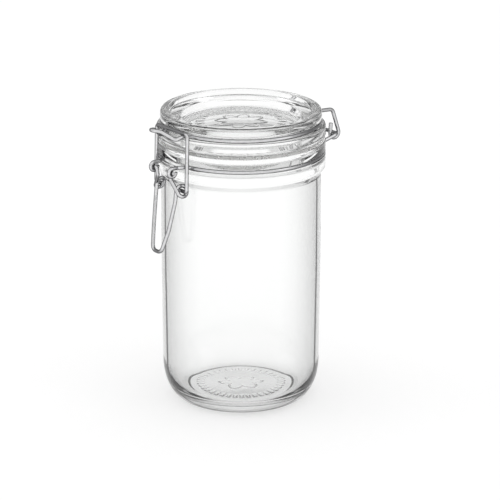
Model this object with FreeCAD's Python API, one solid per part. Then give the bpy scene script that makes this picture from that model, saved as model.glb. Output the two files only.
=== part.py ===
"""Glass canister with a wire-bail lid: glass, sealing ring and four bent wires.

The origin is on the jar's axis, on the surface it stands on. +Z is up. The clasp is at -Y and the
hinge at +Y. Every length is in millimetres.
"""

import FreeCAD
import Part
import math
import os
from FreeCAD import Vector

# Driving dimensions
HEIGHT = 168.0  # of the closed canister
BODY_RADIUS = 44.7
NECK_RADIUS = 47.1  # the neck's bead and the lid's flange
WALL = 2.9
RIM_Z = 151.0
WIRE_RADIUS = 1.1
TOLERANCE = 1e-6

# The jar
FOOT_INNER_RADIUS = 31.0
FOOT_OUTER_RADIUS = 32.4
PUSH_UP = 1.5  # how far the underside is raised inside the foot
CORNER_HEIGHT = 21.9  # where the base's curve meets the wall
WAIST_DRAW_IN = 0.4  # the wall is this much narrower just above the base
FLOOR_THICKNESS = 6.2
INNER_CORNER_HEIGHT = 17.3  # of the curve between the floor and the wall
FLOOR_CROWN = 2.0
FLOOR_RADIUS = 33.0
SHOULDER_Z = RIM_Z - 19.0
BULGE = 0.1  # the wall is this much wider at mid height
BULGE_Z = SHOULDER_Z - 54.0
BAND_Z = SHOULDER_Z + 3.6
MOUTH_RADIUS = 38.0
BEAD_INNER_RADIUS = NECK_RADIUS - 3.5  # the wall swells with the bead

# The grooves that hold the two ring wires
GROOVE_WIDTH = 2 * WIRE_RADIUS + 0.3
GROOVE_CLEARANCE = 0.15
NECK_WIRE_Z = RIM_Z - 6.9
NECK_WIRE_RADIUS = NECK_RADIUS - WIRE_RADIUS
LID_WIRE_Z = RIM_Z + 10.0
LID_WIRE_RADIUS = NECK_RADIUS - 2.9
RING_BEND = 3.0  # where a wire turns out of its groove

# The sealing ring
SEAL_GAP = 0.15
SEAL_THICKNESS = 2.1
SEAL_INNER_RADIUS = MOUTH_RADIUS + 0.6
SEAL_OUTER_RADIUS = NECK_RADIUS - 0.7
SEAL_EDGE_RADIUS = 0.5

# The lid
LID_Z = RIM_Z + 2.3
LID_UNDERSIDE_Z = LID_Z + 2.2
PLUG_Z = RIM_Z - 1.8
PLUG_OUTER_RADIUS = MOUTH_RADIUS - 1.3
PLUG_INNER_RADIUS = PLUG_OUTER_RADIUS - 3.4
LID_TOP_RADIUS = NECK_RADIUS - 2.2
LID_RIM_WIDTH = 4.3
LID_SHELF_Z = HEIGHT - 2.6
WELL_RADIUS = 31.6  # the deep recess in the middle of the top
WELL_EDGE_Z = HEIGHT - 3.8
WELL_Z = HEIGHT - 7.6

# The hinge at the back: the lid wire's two hooks turn on the neck wire's crossbar
HOOK_RADIUS = 3.0
HOOK_X = 11.25
HOOK_LEG_LEAN = 19.0  # degrees from the vertical
HOOK_STUB_LEAN = 4.0
HOOK_STUB_Z = RIM_Z + 1.6
HOOK_TOP_Z = LID_WIRE_Z - 0.5
HOOK_TOP_BEND = 3.0
HOOK_RUN = 2.0  # the wire leaves its groove level, then slopes down to the hook's top
HOOK_RUN_BEND = 12.0
HINGE_Y = 57.5
HINGE_Z = 146.6
HINGE_ARM_X = 14.2
HINGE_ARM_RUN = 2.2  # the arm leaves the neck level, then climbs to the crossbar
HINGE_ARM_BEND = 4.0
HINGE_BEND = 2.3

# The clasp at the front. A front distance is measured from the axis towards -Y.
EYE_X = 8.4
EYE_RADIUS = 2.3
EYE_ARM_LEAN = 30.0  # degrees from the Y axis, where the wire comes out of its groove
EYE_TURN_FRONT = 49.6
EYE_TURN_BEND = 2.5
PIVOT_FRONT = 53.2
PIVOT_Z = NECK_WIRE_Z - EYE_RADIUS
PIN_PROUD = 0.4  # the lever's pins stand out this far from the eyes
COIL_FRONT = 47.9
COIL_Z = RIM_Z - 20.0
COIL_RADIUS = 2.8
COIL_EASE = 0.4  # the runs meet the coil this much further out than tangents would
COIL_OUTER_X = 11.8
COIL_INNER_X = 9.1
COIL_LOW_SHARE = 0.2  # of the coil's pitch, gone at its lower rear corner
COIL_HIGH_SHARE = 0.7  # and at its upper rear corner
LEVER_ARM_X = EYE_X - 2 * WIRE_RADIUS - 0.25
LEVER_BEND = 1.6
ARM_KNEE_FRONT = PIVOT_FRONT - 0.6
ARM_KNEE_Z = PIVOT_Z - 4.4
ARM_KNEE_BEND = 2.5
HANDLE_START_FRONT = COIL_FRONT + 3.9
HANDLE_START_Z = COIL_Z - 6.0
HANDLE_START_BEND = 16.0
HANDLE_MIDDLE_X = 7.0
HANDLE_MIDDLE_FRONT = 54.9
HANDLE_MIDDLE_Z = 108.5
HANDLE_MIDDLE_BEND = 30.0
LEVER_TIP_HALF_WIDTH = 3.9
LEVER_TIP_BEND = 3.7
LEVER_TIP_FRONT = 58.0
LEVER_TIP_Z = 95.9
BAIL_X = COIL_OUTER_X + 2 * WIRE_RADIUS + 0.25
BAIL_FRONT = NECK_RADIUS - 0.1
BAIL_Z = RIM_Z + 12.3
BAIL_BOTTOM_BEND = 1.6
BAIL_TOP_BEND = 2.0
TONGUE_ROOT_FRONT = 45.5
TONGUE_ROOT_X = 8.6
TONGUE_ROOT_BEND = 1.6
TONGUE_HALF_ANGLE = 26.0  # degrees, between each leg and the plane X = 0
TONGUE_LOW_FRONT = 49.4  # the dip just outside the bail's bar
TONGUE_LOW_Z = LID_WIRE_Z - 1.9
TONGUE_LOW_BEND = 3.0
TONGUE_TIP_FRONT = HINGE_Y + HOOK_RADIUS
TONGUE_TIP_Z = RIM_Z + 14.7
TONGUE_KNEE_FRONT = TONGUE_TIP_FRONT - 3.4
TONGUE_KNEE_Z = TONGUE_TIP_Z - 1.1
TONGUE_KNEE_BEND = 7.0


def front(x, distance, z):
    """A point on the clasp's side."""
    return Vector(x, -distance, z)


def mirrored(points):
    """The same corners across the plane X = 0, in the opposite order."""
    return [(Vector(-p.x, p.y, p.z), radius) for p, radius in reversed(points)]


def rounded_edges(corners):
    """Straight edges through (point, radius) corners, with a tangent arc at each inner one."""
    edges = []
    start = corners[0][0]

    def line_to(end):
        """A straight edge, unless two arcs meet with nothing between them."""
        if start.distanceToPoint(end) > TOLERANCE:
            edges.append(Part.makeLine(start, end))

    for (before, _), (point, radius), (after, _) in zip(corners, corners[1:], corners[2:]):
        back = (before - point).normalize()
        ahead = (after - point).normalize()
        half_angle = back.getAngle(ahead) / 2
        setback = radius / math.tan(half_angle)
        arc_start = point + back * setback
        arc_end = point + ahead * setback
        inward = (back + ahead).normalize()
        arc_middle = point + inward * (radius / math.sin(half_angle) - radius)
        line_to(arc_start)
        edges.append(Part.Arc(arc_start, arc_middle, arc_end).toShape())
        start = arc_end
    line_to(corners[-1][0])
    return edges


def section(points):
    """Corners of a revolved outline from (radius, z, fillet) triples."""
    return [(Vector(r, 0, z), fillet) for r, z, fillet in points]


def revolved(edges):
    """The solid of revolution whose half outline starts and ends on the axis."""
    outline = Part.Wire(edges)
    ends = [v.Point for v in outline.OrderedVertexes]
    axis_edge = Part.makeLine(ends[-1], ends[0])
    face = Part.Face(Part.Wire(edges + [axis_edge]))
    return face.revolve(Vector(0, 0, 0), Vector(0, 0, 1), 360)


def quarter_ellipse(centre_r, centre_z, width, height):
    """The lower outer quarter of an upright ellipse, from its bottom to its side."""
    tall = height > width
    centre = Vector(centre_r, 0, centre_z)
    side = Vector(centre_r + width, 0, centre_z)
    bottom = Vector(centre_r, 0, centre_z - height)
    major, minor = (bottom, side) if tall else (side, bottom)
    ellipse = Part.Ellipse(major, minor, centre)
    ends = sorted(ellipse.parameter(p) for p in (bottom, side))
    if ends[1] - ends[0] > math.pi:
        ends = [ends[1], ends[0] + 2 * math.pi]
    return Part.ArcOfEllipse(ellipse, *ends).toShape()


def ring_exit(ring_radius, z, line_point, line_direction):
    """How a wire leaves its ring, for a straight run that starts at x > 0.

    Returns the bend's edge, the run's first point, and the point where the ring ends.
    """
    direction = Vector(line_direction).normalize()
    side = Vector(direction.y, -direction.x, 0)
    if side.x < 0:
        side = side * -1
    foot = line_point + side * RING_BEND
    along = foot.dot(direction)
    reach = ring_radius + RING_BEND
    travel = -along + math.sqrt(along**2 - foot.dot(foot) + reach**2)
    centre = foot + direction * travel
    run_start = centre - side * RING_BEND
    ring_end = centre * (ring_radius / reach)
    towards_middle = ((run_start - centre).normalize() + (ring_end - centre).normalize()).normalize()
    middle = centre + towards_middle * RING_BEND
    lift = Vector(0, 0, z)
    bend = Part.Arc(run_start + lift, middle + lift, ring_end + lift).toShape()
    return bend, run_start + lift, ring_end + lift


def ring_arc(rear_end, front_end):
    """The stretch of a ring wire between its ends, on the +X side of the canister."""
    side_point = Vector(math.hypot(rear_end.x, rear_end.y), 0, rear_end.z)
    return Part.Arc(rear_end, side_point, front_end).toShape()


def bent_wire(edges):
    """A round wire along the edges, with its true section all the way."""
    path = Part.Wire(Part.__sortEdges__(edges))
    first = path.OrderedEdges[0]
    start = path.OrderedVertexes[0].Point
    at_start = first.Curve.parameter(start)
    tangent = first.tangentAt(at_start)
    circle = Part.Wire(Part.makeCircle(WIRE_RADIUS, start, tangent))
    solid = path.makePipeShell([circle], True, False)
    expected = math.pi * WIRE_RADIUS**2 * path.Length
    print("wire length", round(path.Length, 1), "volume ratio", round(solid.Volume / expected, 4))
    return solid


def with_mirror(edges):
    """The edges and their mirror images across the plane X = 0."""
    return edges + [e.mirror(Vector(0, 0, 0), Vector(1, 0, 0)) for e in edges]


def glass_jar():
    """A thick-walled cylinder with a rounded base, a beaded neck and a groove for the neck wire."""
    foot = section(
        [
            (0, PUSH_UP, 0),
            (FOOT_INNER_RADIUS - 1.5, PUSH_UP, 2.0),
            (FOOT_INNER_RADIUS, 0, 0.8),
            (FOOT_OUTER_RADIUS, 0, 0),
        ]
    )
    waist = BODY_RADIUS - WAIST_DRAW_IN
    corner = quarter_ellipse(FOOT_OUTER_RADIUS, CORNER_HEIGHT, waist - FOOT_OUTER_RADIUS, CORNER_HEIGHT)
    wall_start = Vector(waist, 0, CORNER_HEIGHT)
    wall_middle = Vector(BODY_RADIUS + BULGE, 0, BULGE_Z)
    wall_end = Vector(BODY_RADIUS, 0, SHOULDER_Z - 1)
    wall = Part.Arc(wall_start, wall_middle, wall_end).toShape()

    inside_radius = BODY_RADIUS - WALL
    groove_radius = NECK_WIRE_RADIUS - WIRE_RADIUS - GROOVE_CLEARANCE
    groove_bottom = NECK_WIRE_Z - GROOVE_WIDTH / 2
    groove_top = NECK_WIRE_Z + GROOVE_WIDTH / 2
    inner_corner_z = FLOOR_THICKNESS + INNER_CORNER_HEIGHT
    neck = section(
        [
            (BODY_RADIUS, SHOULDER_Z - 1, 0),
            (BODY_RADIUS, SHOULDER_Z + 0.4, 2.0),
            (NECK_RADIUS, BAND_Z, 2.0),
            (NECK_RADIUS, groove_bottom, 0.4),
            (groove_radius, groove_bottom, 1.1),
            (groove_radius, groove_top, 1.1),
            (NECK_RADIUS, groove_top, 0.5),
            (NECK_RADIUS, RIM_Z, 1.4),
            (MOUTH_RADIUS, RIM_Z, 1.2),
            (MOUTH_RADIUS, NECK_WIRE_Z + 2.9, 2.5),
            (BEAD_INNER_RADIUS, NECK_WIRE_Z - 4.3, 3.0),
            (BEAD_INNER_RADIUS, BAND_Z + 0.6, 2.0),
            (inside_radius, SHOULDER_Z - 1.0, 3.0),
            (inside_radius, inner_corner_z, 0),
        ]
    )
    inner_corner = quarter_ellipse(
        FLOOR_RADIUS, inner_corner_z, inside_radius - FLOOR_RADIUS, INNER_CORNER_HEIGHT
    )
    crown_radius = (FLOOR_RADIUS**2 + FLOOR_CROWN**2) / (2 * FLOOR_CROWN)
    crown_z = FLOOR_THICKNESS + FLOOR_CROWN
    half_way = FLOOR_RADIUS / 2
    drop = crown_radius - math.sqrt(crown_radius**2 - half_way**2)
    floor = Part.Arc(
        Vector(FLOOR_RADIUS, 0, FLOOR_THICKNESS), Vector(half_way, 0, crown_z - drop), Vector(0, 0, crown_z)
    ).toShape()
    edges = rounded_edges(foot) + [corner, wall] + rounded_edges(neck) + [inner_corner, floor]
    return revolved(edges)


def glass_lid():
    """A pressed disc with a plug below, a flange, a groove for its wire and a recessed top."""
    groove_radius = LID_WIRE_RADIUS - WIRE_RADIUS - GROOVE_CLEARANCE
    groove_bottom = LID_WIRE_Z - GROOVE_WIDTH / 2
    groove_top = groove_bottom + GROOVE_WIDTH + GROOVE_CLEARANCE
    rim_inner = LID_TOP_RADIUS - LID_RIM_WIDTH
    outline = section(
        [
            (0, LID_UNDERSIDE_Z, 0),
            (PLUG_INNER_RADIUS - 0.8, LID_UNDERSIDE_Z, 1.5),
            (PLUG_INNER_RADIUS, PLUG_Z, 1.3),
            (PLUG_OUTER_RADIUS, PLUG_Z, 1.3),
            (PLUG_OUTER_RADIUS, LID_Z, 0.6),
            (NECK_RADIUS, LID_Z, 0.9),
            (NECK_RADIUS, groove_bottom, 1.6),
            (groove_radius, groove_bottom, 1.1),
            (groove_radius, groove_top, 1.1),
            (LID_TOP_RADIUS, groove_top, 0.6),
            (LID_TOP_RADIUS, HEIGHT, 1.8),
            (rim_inner, HEIGHT, 1.6),
            (rim_inner - 1.2, LID_SHELF_Z, 1.2),
            (WELL_RADIUS + 1.6, WELL_EDGE_Z, 1.2),
            (WELL_RADIUS, WELL_Z, 1.6),
            (0, WELL_Z, 0),
        ]
    )
    return revolved(rounded_edges(outline))


def seal():
    """The flat ring between the jar's rim and the lid."""
    bottom_z = RIM_Z + SEAL_GAP / 2
    outer = Part.makeCylinder(SEAL_OUTER_RADIUS, SEAL_THICKNESS, Vector(0, 0, bottom_z))
    inner = Part.makeCylinder(SEAL_INNER_RADIUS, SEAL_THICKNESS, Vector(0, 0, bottom_z))
    ring = outer.cut(inner)
    return ring.makeFillet(SEAL_EDGE_RADIUS, ring.Edges)


def lid_wire():
    """One wire: hinge hook, half ring in the lid's groove, tongue, and the same mirrored."""
    leg_corner = HOOK_RADIUS * math.tan(math.radians(45 + HOOK_LEG_LEAN / 2))
    stub_corner = HOOK_RADIUS * math.tan(math.radians(45 + HOOK_STUB_LEAN / 2))
    hook_bottom = HINGE_Z - HOOK_RADIUS
    leg_foot = Vector(HOOK_X, HINGE_Y + leg_corner, hook_bottom)
    stub_foot = Vector(HOOK_X, HINGE_Y - stub_corner, hook_bottom)
    stub_rise = HOOK_STUB_Z - hook_bottom
    stub_end = stub_foot + Vector(0, stub_rise * math.tan(math.radians(HOOK_STUB_LEAN)), stub_rise)
    leg_rise = HOOK_TOP_Z - hook_bottom
    leg_top = leg_foot + Vector(0, -leg_rise * math.tan(math.radians(HOOK_LEG_LEAN)), leg_rise)

    back_bend, back_run, ring_back = ring_exit(
        LID_WIRE_RADIUS, LID_WIRE_Z, Vector(HOOK_X, 0, 0), Vector(0, 1, 0)
    )
    hinge_side = [
        (stub_end, 0),
        (stub_foot, HOOK_RADIUS),
        (leg_foot, HOOK_RADIUS),
        (leg_top, HOOK_TOP_BEND),
        (back_run + Vector(0, HOOK_RUN, 0), HOOK_RUN_BEND),
        (back_run, 0),
    ]

    root = front(TONGUE_ROOT_X, TONGUE_ROOT_FRONT, 0)
    apex_front = TONGUE_ROOT_FRONT + TONGUE_ROOT_X / math.tan(math.radians(TONGUE_HALF_ANGLE))
    apex = front(0, apex_front, 0)
    outward = (apex - root).normalize()
    front_bend, front_run, ring_front = ring_exit(LID_WIRE_RADIUS, LID_WIRE_Z, root, outward)

    def on_leg(distance, z):
        """The point of the tongue's leg at a front distance."""
        point = root + outward * ((distance - TONGUE_ROOT_FRONT) / -outward.y)
        return Vector(point.x, point.y, z)

    tongue_leg = [
        (front_run, 0),
        (on_leg(NECK_RADIUS - WIRE_RADIUS, LID_WIRE_Z), TONGUE_ROOT_BEND),
        (on_leg(TONGUE_LOW_FRONT, TONGUE_LOW_Z), TONGUE_LOW_BEND),
        (on_leg(TONGUE_KNEE_FRONT, TONGUE_KNEE_Z), TONGUE_KNEE_BEND),
    ]
    sharpness = 1 / math.sin(math.radians(TONGUE_HALF_ANGLE)) - 1
    tip_bend = (apex_front - TONGUE_TIP_FRONT) / sharpness
    tip = [(Vector(0, apex.y, TONGUE_TIP_Z), tip_bend)]
    tongue = rounded_edges(tongue_leg + tip + mirrored(tongue_leg))
    side = rounded_edges(hinge_side) + [back_bend, ring_arc(ring_back, ring_front), front_bend]
    return bent_wire(tongue + with_mirror(side))


def neck_wire():
    """One wire: clasp eye, half ring in the neck's groove, hinge crossbar, and the same mirrored."""
    back_bend, back_run, ring_back = ring_exit(
        NECK_WIRE_RADIUS, NECK_WIRE_Z, Vector(HINGE_ARM_X, 0, 0), Vector(0, 1, 0)
    )
    crossbar_half = [
        (back_run, 0),
        (back_run + Vector(0, HINGE_ARM_RUN, 0), HINGE_ARM_BEND),
        (Vector(HINGE_ARM_X, HINGE_Y, HINGE_Z), HINGE_BEND),
    ]
    crossbar = rounded_edges(crossbar_half + mirrored(crossbar_half))

    lean = math.radians(EYE_ARM_LEAN)
    towards_eye = Vector(-math.sin(lean), -math.cos(lean), 0)
    front_bend, front_run, ring_front = ring_exit(
        NECK_WIRE_RADIUS, NECK_WIRE_Z, front(EYE_X, EYE_TURN_FRONT, 0), towards_eye
    )
    eye_bottom = PIVOT_Z - EYE_RADIUS
    eye_outer = PIVOT_FRONT + EYE_RADIUS
    eye_inner = PIVOT_FRONT - EYE_RADIUS
    eye = [
        (front_run, 0),
        (front(EYE_X, EYE_TURN_FRONT, NECK_WIRE_Z), EYE_TURN_BEND),
        (front(EYE_X, eye_outer, NECK_WIRE_Z), EYE_RADIUS),
        (front(EYE_X, eye_outer, eye_bottom), EYE_RADIUS),
        (front(EYE_X, eye_inner, eye_bottom), EYE_RADIUS),
        (front(EYE_X, eye_inner, PIVOT_Z + TOLERANCE), 0),
    ]
    side = rounded_edges(eye) + [front_bend, ring_arc(ring_back, ring_front), back_bend]
    return bent_wire(crossbar + with_mirror(side))


def latch_lever():
    """The handle: a pin in each clasp eye, an arm, a full coil, and the long V-shaped loop."""
    knee_lean = math.atan2(ARM_KNEE_FRONT - COIL_FRONT, ARM_KNEE_Z - COIL_Z)
    knee_distance = math.hypot(ARM_KNEE_FRONT - COIL_FRONT, ARM_KNEE_Z - COIL_Z)
    arm_lean = knee_lean - math.asin(COIL_RADIUS / knee_distance)
    inner = COIL_FRONT - COIL_RADIUS
    coil_bottom = COIL_Z - COIL_RADIUS
    coil_top = COIL_Z + COIL_RADIUS
    handle_lean = math.atan2(HANDLE_START_FRONT - COIL_FRONT - COIL_RADIUS, coil_top - HANDLE_START_Z)

    def coil_corner(lean):
        """The front distance where a run with this lean from the vertical meets the coil's level."""
        return COIL_FRONT + COIL_RADIUS * math.tan(math.pi / 4 - lean / 2) + COIL_EASE

    pitch = COIL_OUTER_X - COIL_INNER_X
    half = [
        (front(EYE_X + WIRE_RADIUS + PIN_PROUD, PIVOT_FRONT, PIVOT_Z), 0),
        (front(LEVER_ARM_X, PIVOT_FRONT, PIVOT_Z), LEVER_BEND),
        (front(LEVER_ARM_X, ARM_KNEE_FRONT, ARM_KNEE_Z), ARM_KNEE_BEND),
        (front(COIL_OUTER_X, coil_corner(arm_lean), coil_bottom), COIL_RADIUS),
        (front(COIL_OUTER_X - pitch * COIL_LOW_SHARE, inner, coil_bottom), COIL_RADIUS),
        (front(COIL_OUTER_X - pitch * COIL_HIGH_SHARE, inner, coil_top), COIL_RADIUS),
        (front(COIL_INNER_X, coil_corner(handle_lean), coil_top), COIL_RADIUS),
        (front(COIL_INNER_X, HANDLE_START_FRONT, HANDLE_START_Z), HANDLE_START_BEND),
        (front(HANDLE_MIDDLE_X, HANDLE_MIDDLE_FRONT, HANDLE_MIDDLE_Z), HANDLE_MIDDLE_BEND),
        (front(LEVER_TIP_HALF_WIDTH, LEVER_TIP_FRONT, LEVER_TIP_Z), LEVER_TIP_BEND),
    ]
    return bent_wire(rounded_edges(half + mirrored(half)))


def bail_link():
    """The upright loop: a pin in each coil, two legs and the bar that presses on the tongue."""
    half = [
        (front(COIL_INNER_X - WIRE_RADIUS - 0.3, COIL_FRONT, COIL_Z), 0),
        (front(BAIL_X, COIL_FRONT, COIL_Z), BAIL_BOTTOM_BEND),
        (front(BAIL_X, BAIL_FRONT, BAIL_Z), BAIL_TOP_BEND),
    ]
    return bent_wire(rounded_edges(half + mirrored(half)))


SUBCOMPONENTS = {
    "glass_jar": glass_jar,
    "glass_lid": glass_lid,
    "gasket": seal,
    "lid_wire": lid_wire,
    "neck_wire": neck_wire,
    "latch_lever": latch_lever,
    "bail_link": bail_link,
}

os.makedirs("parts", exist_ok=True)
for name, make in SUBCOMPONENTS.items():
    shape = make()
    print(name, "valid", shape.isValid(), "solids", len(shape.Solids), "volume", round(shape.Volume, 1))
    shape.exportStep("parts/" + name + ".step")
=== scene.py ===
import math

import bpy
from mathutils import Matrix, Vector


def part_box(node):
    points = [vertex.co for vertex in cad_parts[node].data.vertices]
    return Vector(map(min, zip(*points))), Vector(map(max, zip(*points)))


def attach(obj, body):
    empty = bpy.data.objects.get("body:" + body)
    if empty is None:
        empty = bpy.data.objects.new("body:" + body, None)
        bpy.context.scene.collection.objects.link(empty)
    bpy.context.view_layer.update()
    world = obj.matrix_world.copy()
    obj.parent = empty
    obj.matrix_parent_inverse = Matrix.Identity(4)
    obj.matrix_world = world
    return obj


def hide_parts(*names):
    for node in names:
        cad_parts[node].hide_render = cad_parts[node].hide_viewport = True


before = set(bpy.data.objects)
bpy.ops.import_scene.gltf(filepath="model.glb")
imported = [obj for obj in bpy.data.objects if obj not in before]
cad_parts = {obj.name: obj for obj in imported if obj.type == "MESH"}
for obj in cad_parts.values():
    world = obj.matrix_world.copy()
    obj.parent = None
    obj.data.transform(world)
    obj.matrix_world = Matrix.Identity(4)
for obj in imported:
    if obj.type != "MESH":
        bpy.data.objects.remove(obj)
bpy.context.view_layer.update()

# Everything is in metres, in the frame of the CAD model: +Z up, the clasp at -Y, the hinge at +Y.
MM = 0.001
jar_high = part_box("glass_jar")[1]
lid_low, lid_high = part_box("glass_lid")

NECK_RADIUS = jar_high.x
RIM_Z = jar_high.z
TOP_Z = lid_high.z
PLUG_Z = lid_low.z
WIRE_RADIUS = 1.1 * MM

# The jar
BODY_RADIUS = NECK_RADIUS - 2.4 * MM
WALL = 2.9 * MM
FOOT_INNER_RADIUS = 31.0 * MM
FOOT_OUTER_RADIUS = 32.4 * MM
PUSH_UP = 1.5 * MM
CORNER_HEIGHT = 21.9 * MM
WAIST_DRAW_IN = 0.4 * MM
FLOOR_THICKNESS = 6.2 * MM
INNER_CORNER_HEIGHT = 17.3 * MM
FLOOR_CROWN = 2.0 * MM
FLOOR_RADIUS = 33.0 * MM
SHOULDER_Z = RIM_Z - 19.0 * MM
BAND_Z = SHOULDER_Z + 3.6 * MM
BULGE = 0.1 * MM
BULGE_Z = SHOULDER_Z - 54.0 * MM
MOUTH_RADIUS = 38.0 * MM
BEAD_INNER_RADIUS = NECK_RADIUS - 3.5 * MM

# The grooves of the two ring wires
GROOVE_WIDTH = 2 * WIRE_RADIUS + 0.3 * MM
GROOVE_CLEARANCE = 0.15 * MM
NECK_WIRE_Z = RIM_Z - 6.9 * MM
NECK_WIRE_RADIUS = NECK_RADIUS - WIRE_RADIUS
LID_WIRE_Z = RIM_Z + 10.0 * MM
LID_WIRE_RADIUS = NECK_RADIUS - 2.9 * MM

# The relief on the base, the foot and the floor of the lid's well
BASE_RELIEF_DEPTH = 0.7 * MM
BASE_RELIEF_TOP = 2.2 * MM
BASE_BARS = 40
BASE_BARS_INNER = 21.5 * MM
BARS_OUTER = 25.0 * MM
BASE_PETALS = 6
BASE_FLOWER_RADIUS = 12.0 * MM
KNURL_HEIGHT = 0.25 * MM
KNURL_WAVES = 128
KNURL_INNER = 30.6 * MM
KNURL_OUTER = 35.0 * MM
LID_RELIEF_HEIGHT = 0.22 * MM
LID_BARS = 28
LID_BARS_INNER = 21.0 * MM
LID_PETALS = 8
LID_FLOWER_RADIUS = 14.0 * MM
RELIEF_EDGE = 0.8 * MM
FLOWER_LINE = 1.0 * MM
FLOWER_EDGE = 0.6 * MM
BAR_SHARE = 0.45  # of the room from one bar to the next
BAR_SOFTNESS = 0.7
PETAL_DIP = 0.38  # of the flower's reach, between two petals

# The lid
LID_Z = RIM_Z + 2.3 * MM
LID_UNDERSIDE_Z = LID_Z + 2.2 * MM
PLUG_OUTER_RADIUS = MOUTH_RADIUS - 1.3 * MM
PLUG_INNER_RADIUS = PLUG_OUTER_RADIUS - 3.4 * MM
LID_TOP_RADIUS = NECK_RADIUS - 2.2 * MM
LID_RIM_WIDTH = 4.3 * MM
LID_SHELF_Z = TOP_Z - 2.6 * MM
WELL_RADIUS = 31.6 * MM
WELL_EDGE_Z = TOP_Z - 3.8 * MM
WELL_Z = TOP_Z - 7.6 * MM
WELL_FLOOR_SLACK = 0.3 * MM  # points this near the well's floor carry the relief

# The stage
CAMERA_AZIMUTH = math.radians(53)
CAMERA_PITCH = math.radians(18.08)
CAMERA_DISTANCE = 1.5
CAMERA_HEIGHT = 0.5748
CAMERA_LENS = 201.8
CAMERA_SENSOR_WIDTH = 36
CAMERA_SHIFT = 0.018
TABLE_HALF_WIDTH = 40.0
TABLE_GLOW = 0.557

# The light bends this much in each material
GLASS_IOR = 1.5
RUBBER_IOR = 1.42

# The fineness of the turned meshes
SEGMENTS = 384  # around the axis
ARC_STEP = math.radians(9)
RUN_STEP = 6.0 * MM
RELIEF_STEP = 0.45 * MM


# ---------------------------------------------------------------- outlines

def arc_points(centre, radius, start, turn):
    """Points along an arc from the angle start, both ends included."""
    steps = max(3, math.ceil(abs(turn) / ARC_STEP))
    angles = [start + turn * k / steps for k in range(steps + 1)]
    return [(centre[0] + radius * math.cos(a), centre[1] + radius * math.sin(a)) for a in angles]


def rounded(corners):
    """(radius, z) points through (radius, z, fillet) corners, with an arc at each inner one."""
    points = [corners[0][:2]]
    for before, corner, after in zip(corners, corners[1:], corners[2:]):
        point = Vector(corner[:2])
        back = (Vector(before[:2]) - point).normalized()
        ahead = (Vector(after[:2]) - point).normalized()
        half_angle = back.angle(ahead) / 2
        bisector = (back + ahead).normalized()
        centre = point + bisector * (corner[2] / math.sin(half_angle))
        first = point + back * (corner[2] / math.tan(half_angle)) - centre
        last = point + ahead * (corner[2] / math.tan(half_angle)) - centre
        start = math.atan2(first.y, first.x)
        turn = (math.atan2(last.y, last.x) - start + math.pi) % (2 * math.pi) - math.pi
        points += arc_points(centre, corner[2], start, turn)
    points.append(corners[-1][:2])
    return points


def quarter_ellipse(centre_r, centre_z, width, height):
    """From the bottom to the side of an upright ellipse."""
    angles = [math.radians(a) for a in range(-90, 1, 6)]
    return [(centre_r + width * math.cos(a), centre_z + height * math.sin(a)) for a in angles]


def refined(points, step):
    """The same outline with no run longer than the step."""
    fine = [points[0]]
    for a, b in zip(points, points[1:]):
        pieces = max(1, math.ceil(math.dist(a, b) / step))
        for k in range(1, pieces + 1):
            fine.append((a[0] + (b[0] - a[0]) * k / pieces, a[1] + (b[1] - a[1]) * k / pieces))
    return fine


def smooth_step(edge, width, value):
    """0 below the edge and 1 above it, with a smooth rise of the given width."""
    t = min(1.0, max(0.0, (value - edge) / width + 0.5))
    return t * t * (3 - 2 * t)


def band(low, high, soft, value):
    """1 between low and high, and 0 outside, with soft edges."""
    return smooth_step(low, soft, value) * (1 - smooth_step(high, soft, value))


# ---------------------------------------------------------------- glass

def lathe(name, outline, relief):
    """A closed mesh turned about the Z axis from an outline that starts and ends on it."""
    vertices = [(0.0, 0.0, outline[0][1])]
    for r, z in outline[1:-1]:
        for k in range(SEGMENTS):
            angle = 2 * math.pi * k / SEGMENTS
            lift = relief(r, angle, z)
            vertices.append((r * math.cos(angle), r * math.sin(angle), z + lift))
    vertices.append((0.0, 0.0, outline[-1][1]))
    rings = len(outline) - 2
    last = len(vertices) - 1
    faces = []
    for k in range(SEGMENTS):
        after = (k + 1) % SEGMENTS
        faces.append((0, 1 + after, 1 + k))
        faces.append((last, 1 + (rings - 1) * SEGMENTS + k, 1 + (rings - 1) * SEGMENTS + after))
        for ring in range(rings - 1):
            low = 1 + ring * SEGMENTS
            high = low + SEGMENTS
            faces.append((low + k, low + after, high + after, high + k))
    mesh = bpy.data.meshes.new(name)
    mesh.from_pydata(vertices, [], faces)
    mesh.validate()
    mesh.shade_smooth()
    obj = bpy.data.objects.new(name, mesh)
    bpy.context.collection.objects.link(obj)
    return obj


def bars(r, angle, count, inner):
    """A ring of short radial bars: 1 on a bar and 0 between them."""
    wave = math.cos(count * angle)
    return band(inner, BARS_OUTER, RELIEF_EDGE, r) * smooth_step(1 - 2 * BAR_SHARE, BAR_SOFTNESS, wave)


def rosette(r, angle, petals, reach):
    """The outline of a round flower, as a soft raised line."""
    edge = reach * (1 - PETAL_DIP + PETAL_DIP * abs(math.cos(petals * angle / 2)))
    return band(edge - FLOWER_LINE / 2, edge + FLOWER_LINE / 2, FLOWER_EDGE, r)


def base_relief(r, angle, z):
    """Raised bars and a rosette under the base, and fine knurling on the foot."""
    if z > BASE_RELIEF_TOP:
        return 0.0
    flower = rosette(r, angle, BASE_PETALS, BASE_FLOWER_RADIUS)
    raised = max(bars(r, angle, BASE_BARS, BASE_BARS_INNER), flower)
    wave = 0.5 + 0.5 * math.cos(KNURL_WAVES * angle)
    knurl = band(KNURL_INNER, KNURL_OUTER, RELIEF_EDGE, r) * wave
    return -BASE_RELIEF_DEPTH * raised + KNURL_HEIGHT * knurl


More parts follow.
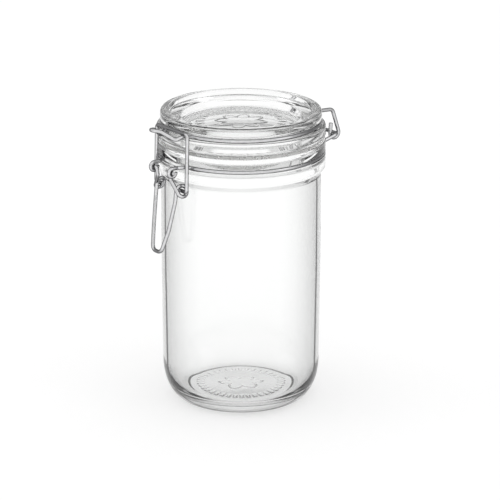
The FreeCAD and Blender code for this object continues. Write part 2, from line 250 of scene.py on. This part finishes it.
def lid_relief(r, angle, z):
    """Raised bars and a rosette on the floor of the lid's well."""
    if abs(z - WELL_Z) > WELL_FLOOR_SLACK:
        return 0.0
    flower = rosette(r, angle, LID_PETALS, LID_FLOWER_RADIUS)
    return LID_RELIEF_HEIGHT * max(bars(r, angle, LID_BARS, LID_BARS_INNER), flower)


def jar_outline():
    """(radius, z) from the middle of the underside, up the outside, down the inside to the floor."""
    foot = rounded(
        [
            (0, PUSH_UP),
            (FOOT_INNER_RADIUS - 1.5 * MM, PUSH_UP, 2.0 * MM),
            (FOOT_INNER_RADIUS, 0, 0.8 * MM),
            (FOOT_OUTER_RADIUS, 0),
        ]
    )
    waist = BODY_RADIUS - WAIST_DRAW_IN
    corner = quarter_ellipse(FOOT_OUTER_RADIUS, CORNER_HEIGHT, waist - FOOT_OUTER_RADIUS, CORNER_HEIGHT)
    inside_radius = BODY_RADIUS - WALL
    groove_radius = NECK_WIRE_RADIUS - WIRE_RADIUS - GROOVE_CLEARANCE
    groove_bottom = NECK_WIRE_Z - GROOVE_WIDTH / 2
    groove_top = NECK_WIRE_Z + GROOVE_WIDTH / 2
    inner_corner_z = FLOOR_THICKNESS + INNER_CORNER_HEIGHT
    neck = rounded(
        [
            (BODY_RADIUS + BULGE, BULGE_Z),
            (BODY_RADIUS, SHOULDER_Z + 0.4 * MM, 2.0 * MM),
            (NECK_RADIUS, BAND_Z, 2.0 * MM),
            (NECK_RADIUS, groove_bottom, 0.4 * MM),
            (groove_radius, groove_bottom, 1.1 * MM),
            (groove_radius, groove_top, 1.1 * MM),
            (NECK_RADIUS, groove_top, 0.5 * MM),
            (NECK_RADIUS, RIM_Z, 1.4 * MM),
            (MOUTH_RADIUS, RIM_Z, 1.2 * MM),
            (MOUTH_RADIUS, NECK_WIRE_Z + 2.9 * MM, 2.5 * MM),
            (BEAD_INNER_RADIUS, NECK_WIRE_Z - 4.3 * MM, 3.0 * MM),
            (BEAD_INNER_RADIUS, BAND_Z + 0.6 * MM, 2.0 * MM),
            (inside_radius, SHOULDER_Z - 1.0 * MM, 3.0 * MM),
            (inside_radius, inner_corner_z + 1.0 * MM),
        ]
    )
    inner_width = inside_radius - FLOOR_RADIUS
    inner_corner = quarter_ellipse(FLOOR_RADIUS, inner_corner_z, inner_width, INNER_CORNER_HEIGHT)
    crown = [
        (FLOOR_RADIUS * tenth / 10, FLOOR_THICKNESS + FLOOR_CROWN * (1 - (tenth / 10) ** 2))
        for tenth in range(9, -1, -1)
    ]
    underside = refined(foot, RELIEF_STEP)
    return underside + corner[1:] + refined(neck, RUN_STEP) + inner_corner[::-1] + crown


def is_pressed(face):
    """True on the jar's neck, its floor and underside, and every wall that looks towards the axis."""
    radius = math.hypot(face.center.x, face.center.y)
    looks_in = face.normal.x * face.center.x + face.normal.y * face.center.y < 0
    return face.center.z > BAND_Z or radius < FLOOR_RADIUS or looks_in


def lid_outline():
    """(radius, z) from the middle of the underside, round the plug and the flange, to the well."""
    groove_radius = LID_WIRE_RADIUS - WIRE_RADIUS - GROOVE_CLEARANCE
    groove_bottom = LID_WIRE_Z - GROOVE_WIDTH / 2
    groove_top = groove_bottom + GROOVE_WIDTH + GROOVE_CLEARANCE
    rim_inner = LID_TOP_RADIUS - LID_RIM_WIDTH
    sides = rounded(
        [
            (0, LID_UNDERSIDE_Z),
            (PLUG_INNER_RADIUS - 0.8 * MM, LID_UNDERSIDE_Z, 1.5 * MM),
            (PLUG_INNER_RADIUS, PLUG_Z, 1.3 * MM),
            (PLUG_OUTER_RADIUS, PLUG_Z, 1.3 * MM),
            (PLUG_OUTER_RADIUS, LID_Z, 0.6 * MM),
            (NECK_RADIUS, LID_Z, 0.9 * MM),
            (NECK_RADIUS, groove_bottom, 1.6 * MM),
            (groove_radius, groove_bottom, 1.1 * MM),
            (groove_radius, groove_top, 1.1 * MM),
            (LID_TOP_RADIUS, groove_top, 0.6 * MM),
            (LID_TOP_RADIUS, TOP_Z, 1.8 * MM),
            (rim_inner, TOP_Z, 1.6 * MM),
            (rim_inner - 1.2 * MM, LID_SHELF_Z, 1.2 * MM),
            (WELL_RADIUS + 1.6 * MM, WELL_EDGE_Z, 1.2 * MM),
            (WELL_RADIUS, WELL_Z, 1.6 * MM),
            (WELL_RADIUS - 2.4 * MM, WELL_Z),
        ]
    )
    floor = refined([sides[-1], (0, WELL_Z)], RELIEF_STEP)
    return refined(sides, RUN_STEP) + floor[1:]


# ---------------------------------------------------------------- materials

def new_material(name):
    """A material with an empty tree but for its Principled shader and the output."""
    material = bpy.data.materials.new(name)
    material.use_nodes = True
    tree = material.node_tree
    return material, tree, tree.nodes["Principled BSDF"]


def noise(tree, scale, detail):
    """A noise texture in the piece's own coordinates, its scale in waves per metre."""
    coordinates = tree.nodes.new("ShaderNodeTexCoord")
    texture = tree.nodes.new("ShaderNodeTexNoise")
    texture.inputs["Scale"].default_value = scale
    texture.inputs["Detail"].default_value = detail
    tree.links.new(coordinates.outputs["Object"], texture.inputs["Vector"])
    return texture.outputs["Fac"]


def mapped(tree, value, low, high, start, end):
    """The value from start to end, moved to the range from low to high."""
    node = tree.nodes.new("ShaderNodeMapRange")
    node.inputs["From Min"].default_value = start
    node.inputs["From Max"].default_value = end
    node.inputs["To Min"].default_value = low
    node.inputs["To Max"].default_value = high
    tree.links.new(value, node.inputs["Value"])
    return node.outputs["Result"]


def ramp(tree, value, stops):
    """A colour ramp over the value, from (position, (r, g, b)) stops."""
    node = tree.nodes.new("ShaderNodeValToRGB")
    elements = node.color_ramp.elements
    while len(elements) < len(stops):
        elements.new(0.5)
    for element, (position, colour) in zip(elements, stops):
        element.position = position
        element.color = (*colour, 1)
    tree.links.new(value, node.inputs["Fac"])
    return node.outputs["Color"]


def scaled(tree, colour, amount):
    """The colour times a number."""
    node = tree.nodes.new("ShaderNodeVectorMath")
    node.operation = "SCALE"
    tree.links.new(colour, node.inputs["Vector"])
    tree.links.new(amount, node.inputs["Scale"])
    return node.outputs["Vector"]


def bump(tree, shader, height, strength, distance):
    """Small unevenness of the surface, from a noise."""
    node = tree.nodes.new("ShaderNodeBump")
    node.inputs["Strength"].default_value = strength
    node.inputs["Distance"].default_value = distance
    tree.links.new(height, node.inputs["Height"])
    tree.links.new(node.outputs["Normal"], shader.inputs["Normal"])


def facing(tree):
    """0 where the surface faces the eye and 1 where it is seen edge on."""
    node = tree.nodes.new("ShaderNodeLayerWeight")
    node.inputs["Blend"].default_value = 0.5
    return node.outputs["Facing"]


def clear_glass(name, painted_shade_greys):
    """Soda-lime glass whose colour carries painted shade, from (facing, lightness) pairs: its grey
    changes with how edge on it is seen.
    """
    material, tree, shader = new_material(name)
    shader.inputs["Transmission Weight"].default_value = 1.0
    shader.inputs["IOR"].default_value = GLASS_IOR
    # The ramp paints shade into the glass's colour by how edge on the surface is seen.
    stops = [(position, (0.997 * grey, grey, 0.998 * grey)) for position, grey in painted_shade_greys]
    tree.links.new(ramp(tree, facing(tree), stops), shader.inputs["Base Color"])
    smears = noise(tree, scale=60, detail=4.0)
    smudge = mapped(tree, smears, low=0.0, high=0.012, start=0.45, end=0.8)
    tree.links.new(smudge, shader.inputs["Roughness"])
    bump(tree, shader, noise(tree, scale=45, detail=1.0), strength=0.07, distance=0.3 * MM)
    return material


def steel_wire():
    """Bright drawn wire with a plated, slightly mottled surface, and painted light and shade that
    darken it towards its edges.
    """
    material, tree, shader = new_material("steel_wire")
    shader.inputs["Metallic"].default_value = 1.0
    # Painted light and shade: the colour is light face on and nearly black where the wire is seen edge
    # on.
    painted_round_shade = ramp(
        tree,
        facing(tree),
        [
            (0.0, (0.86, 0.86, 0.87)),
            (0.2, (0.60, 0.60, 0.61)),
            (0.4, (0.18, 0.18, 0.185)),
            (0.9, (0.06, 0.06, 0.065)),
        ],
    )
    spots = noise(tree, scale=900, detail=3.0)
    mottle = mapped(tree, spots, low=0.82, high=1.0, start=0.3, end=0.7)
    tree.links.new(scaled(tree, painted_round_shade, mottle), shader.inputs["Base Color"])
    haze = noise(tree, scale=500, detail=4.0)
    roughness = mapped(tree, haze, low=0.12, high=0.26, start=0.3, end=0.7)
    tree.links.new(roughness, shader.inputs["Roughness"])
    bump(tree, shader, noise(tree, scale=1400, detail=3.0), strength=0.12, distance=0.05 * MM)
    return material


def clear_rubber():
    """Translucent sealing rubber with a faint bloom."""
    material, tree, shader = new_material("clear_rubber")
    shader.inputs["IOR"].default_value = RUBBER_IOR
    shader.inputs["Transmission Weight"].default_value = 0.7
    bloom = noise(tree, scale=200, detail=3.0)
    colour = ramp(tree, bloom, [(0.3, (0.84, 0.84, 0.83)), (0.7, (0.91, 0.91, 0.90))])
    tree.links.new(colour, shader.inputs["Base Color"])
    haze = noise(tree, scale=400, detail=3.0)
    roughness = mapped(tree, haze, low=0.24, high=0.36, start=0.3, end=0.7)
    tree.links.new(roughness, shader.inputs["Roughness"])
    bump(tree, shader, noise(tree, scale=300, detail=2.0), strength=0.05, distance=0.05 * MM)
    return material


# ---------------------------------------------------------------- pieces

# Painted shade on the glass: its lightness from face on, at 0, to edge on, at 1. The black step in the
# blown wall's list
# is a painted dark line where the wall's inside ends. It is set for a view about 18 degrees down:
# it moves with the view, and from high above it widens into bands. Pressed glass is clearer: its
# painted shade is lighter.
BLOWN_PAINTED_SHADE = [
    (0.0, 0.993),
    (0.19, 0.98),
    (0.3, 0.87),
    (0.4, 0.72),
    (0.5, 0.56),
    (0.6, 0.46),
    (0.66, 0.42),
    (0.68, 0.0),
    (0.715, 0.0),
    (0.74, 0.36),
    (0.9, 0.5),
    (1.0, 0.4),
]
PRESSED_PAINTED_SHADE = [(0.0, 0.995), (0.5, 0.98), (0.7, 0.96), (0.85, 0.78), (1.0, 0.3)]
jar_glass = clear_glass("blown_glass", BLOWN_PAINTED_SHADE)
pressed_glass = clear_glass("pressed_glass", PRESSED_PAINTED_SHADE)
wire = steel_wire()
rubber = clear_rubber()

jar = lathe("jar_glass", jar_outline(), base_relief)
lid = lathe("lid_glass", lid_outline(), lid_relief)
jar.data.materials.append(jar_glass)
jar.data.materials.append(pressed_glass)
for face in jar.data.polygons:
    face.material_index = 1 if is_pressed(face) else 0
lid.data.materials.append(pressed_glass)
for piece, node, body in ((jar, "glass_jar", "jar"), (lid, "glass_lid", "lid")):
    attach(piece, body)
    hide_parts(node)

for node in ("lid_wire", "neck_wire", "latch_lever", "bail_link"):
    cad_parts[node].data.materials.clear()
    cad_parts[node].data.materials.append(wire)
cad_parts["gasket"].data.materials.clear()
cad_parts["gasket"].data.materials.append(rubber)


# ---------------------------------------------------------------- stage, light and camera

def table():
    """A large plain pale floor that glows evenly, as a lit white table does."""
    mesh = bpy.data.meshes.new("floor")
    half = TABLE_HALF_WIDTH
    corners = [(-half, -half, 0), (half, -half, 0), (half, half, 0), (-half, half, 0)]
    mesh.from_pydata(corners, [], [(0, 1, 2, 3)])
    floor = bpy.data.objects.new("floor", mesh)
    bpy.context.collection.objects.link(floor)
    material, tree, shader = new_material("white_table")
    shader.inputs["Base Color"].default_value = (0.5, 0.5, 0.5, 1)
    shader.inputs["Roughness"].default_value = 1.0
    shader.inputs["Specular IOR Level"].default_value = 0.0
    shader.inputs["Emission Color"].default_value = (1, 1, 1, 1)
    shader.inputs["Emission Strength"].default_value = TABLE_GLOW
    # So large a sheet makes less noise when it isn't picked as a lamp
    material.cycles.emission_sampling = "NONE"
    mesh.materials.append(material)


def sky():
    """A pale studio: as bright as the table at the horizon, greyer above it, and pale overhead."""
    world = bpy.data.worlds.new("studio")
    bpy.context.scene.world = world
    world.use_nodes = True
    tree = world.node_tree
    coordinates = tree.nodes.new("ShaderNodeTexCoord")
    split = tree.nodes.new("ShaderNodeSeparateXYZ")
    tree.links.new(coordinates.outputs["Generated"], split.inputs["Vector"])
    brightness = [(0.0, 1.0), (0.12, 0.72), (0.22, 0.72), (0.4, 0.88), (0.9, 0.95)]
    stops = [(height, (grey, grey, grey)) for height, grey in brightness]
    colour = ramp(tree, split.outputs["Z"], stops)
    tree.links.new(colour, tree.nodes["Background"].inputs["Color"])
    tree.nodes["Background"].inputs["Strength"].default_value = 1.0


def soft_light(name, place, target, size, power):
    """A rectangular soft light at a place, turned towards the target."""
    data = bpy.data.lights.new(name, "AREA")
    data.shape = "RECTANGLE"
    data.size = size[0]
    data.size_y = size[1]
    data.energy = power
    light = bpy.data.objects.new(name, data)
    light.location = place
    light.rotation_euler = (Vector(target) - Vector(place)).to_track_quat("-Z", "Y").to_euler()
    bpy.context.collection.objects.link(light)


def camera():
    """A long lens, from in front and to the right of the clasp, looking down at the canister."""
    data = bpy.data.cameras.new("camera")
    data.lens = CAMERA_LENS
    data.sensor_width = CAMERA_SENSOR_WIDTH
    data.shift_x = CAMERA_SHIFT
    obj = bpy.data.objects.new("camera", data)
    x = CAMERA_DISTANCE * math.sin(CAMERA_AZIMUTH)
    y = -CAMERA_DISTANCE * math.cos(CAMERA_AZIMUTH)
    obj.location = (x, y, CAMERA_HEIGHT)
    obj.rotation_euler = (math.pi / 2 - CAMERA_PITCH, 0, CAMERA_AZIMUTH)
    bpy.context.collection.objects.link(obj)
    bpy.context.scene.camera = obj


table()
sky()
middle = (0, 0, TOP_Z / 2)
soft_light("left_softbox", place=(-0.9, -1.1, 0.9), target=middle, size=(0.9, 1.2), power=2)
soft_light("right_softbox", place=(1.3, 0.7, 0.8), target=middle, size=(0.6, 1.2), power=1.5)
camera()
bpy.context.scene.view_settings.view_transform = "Standard"
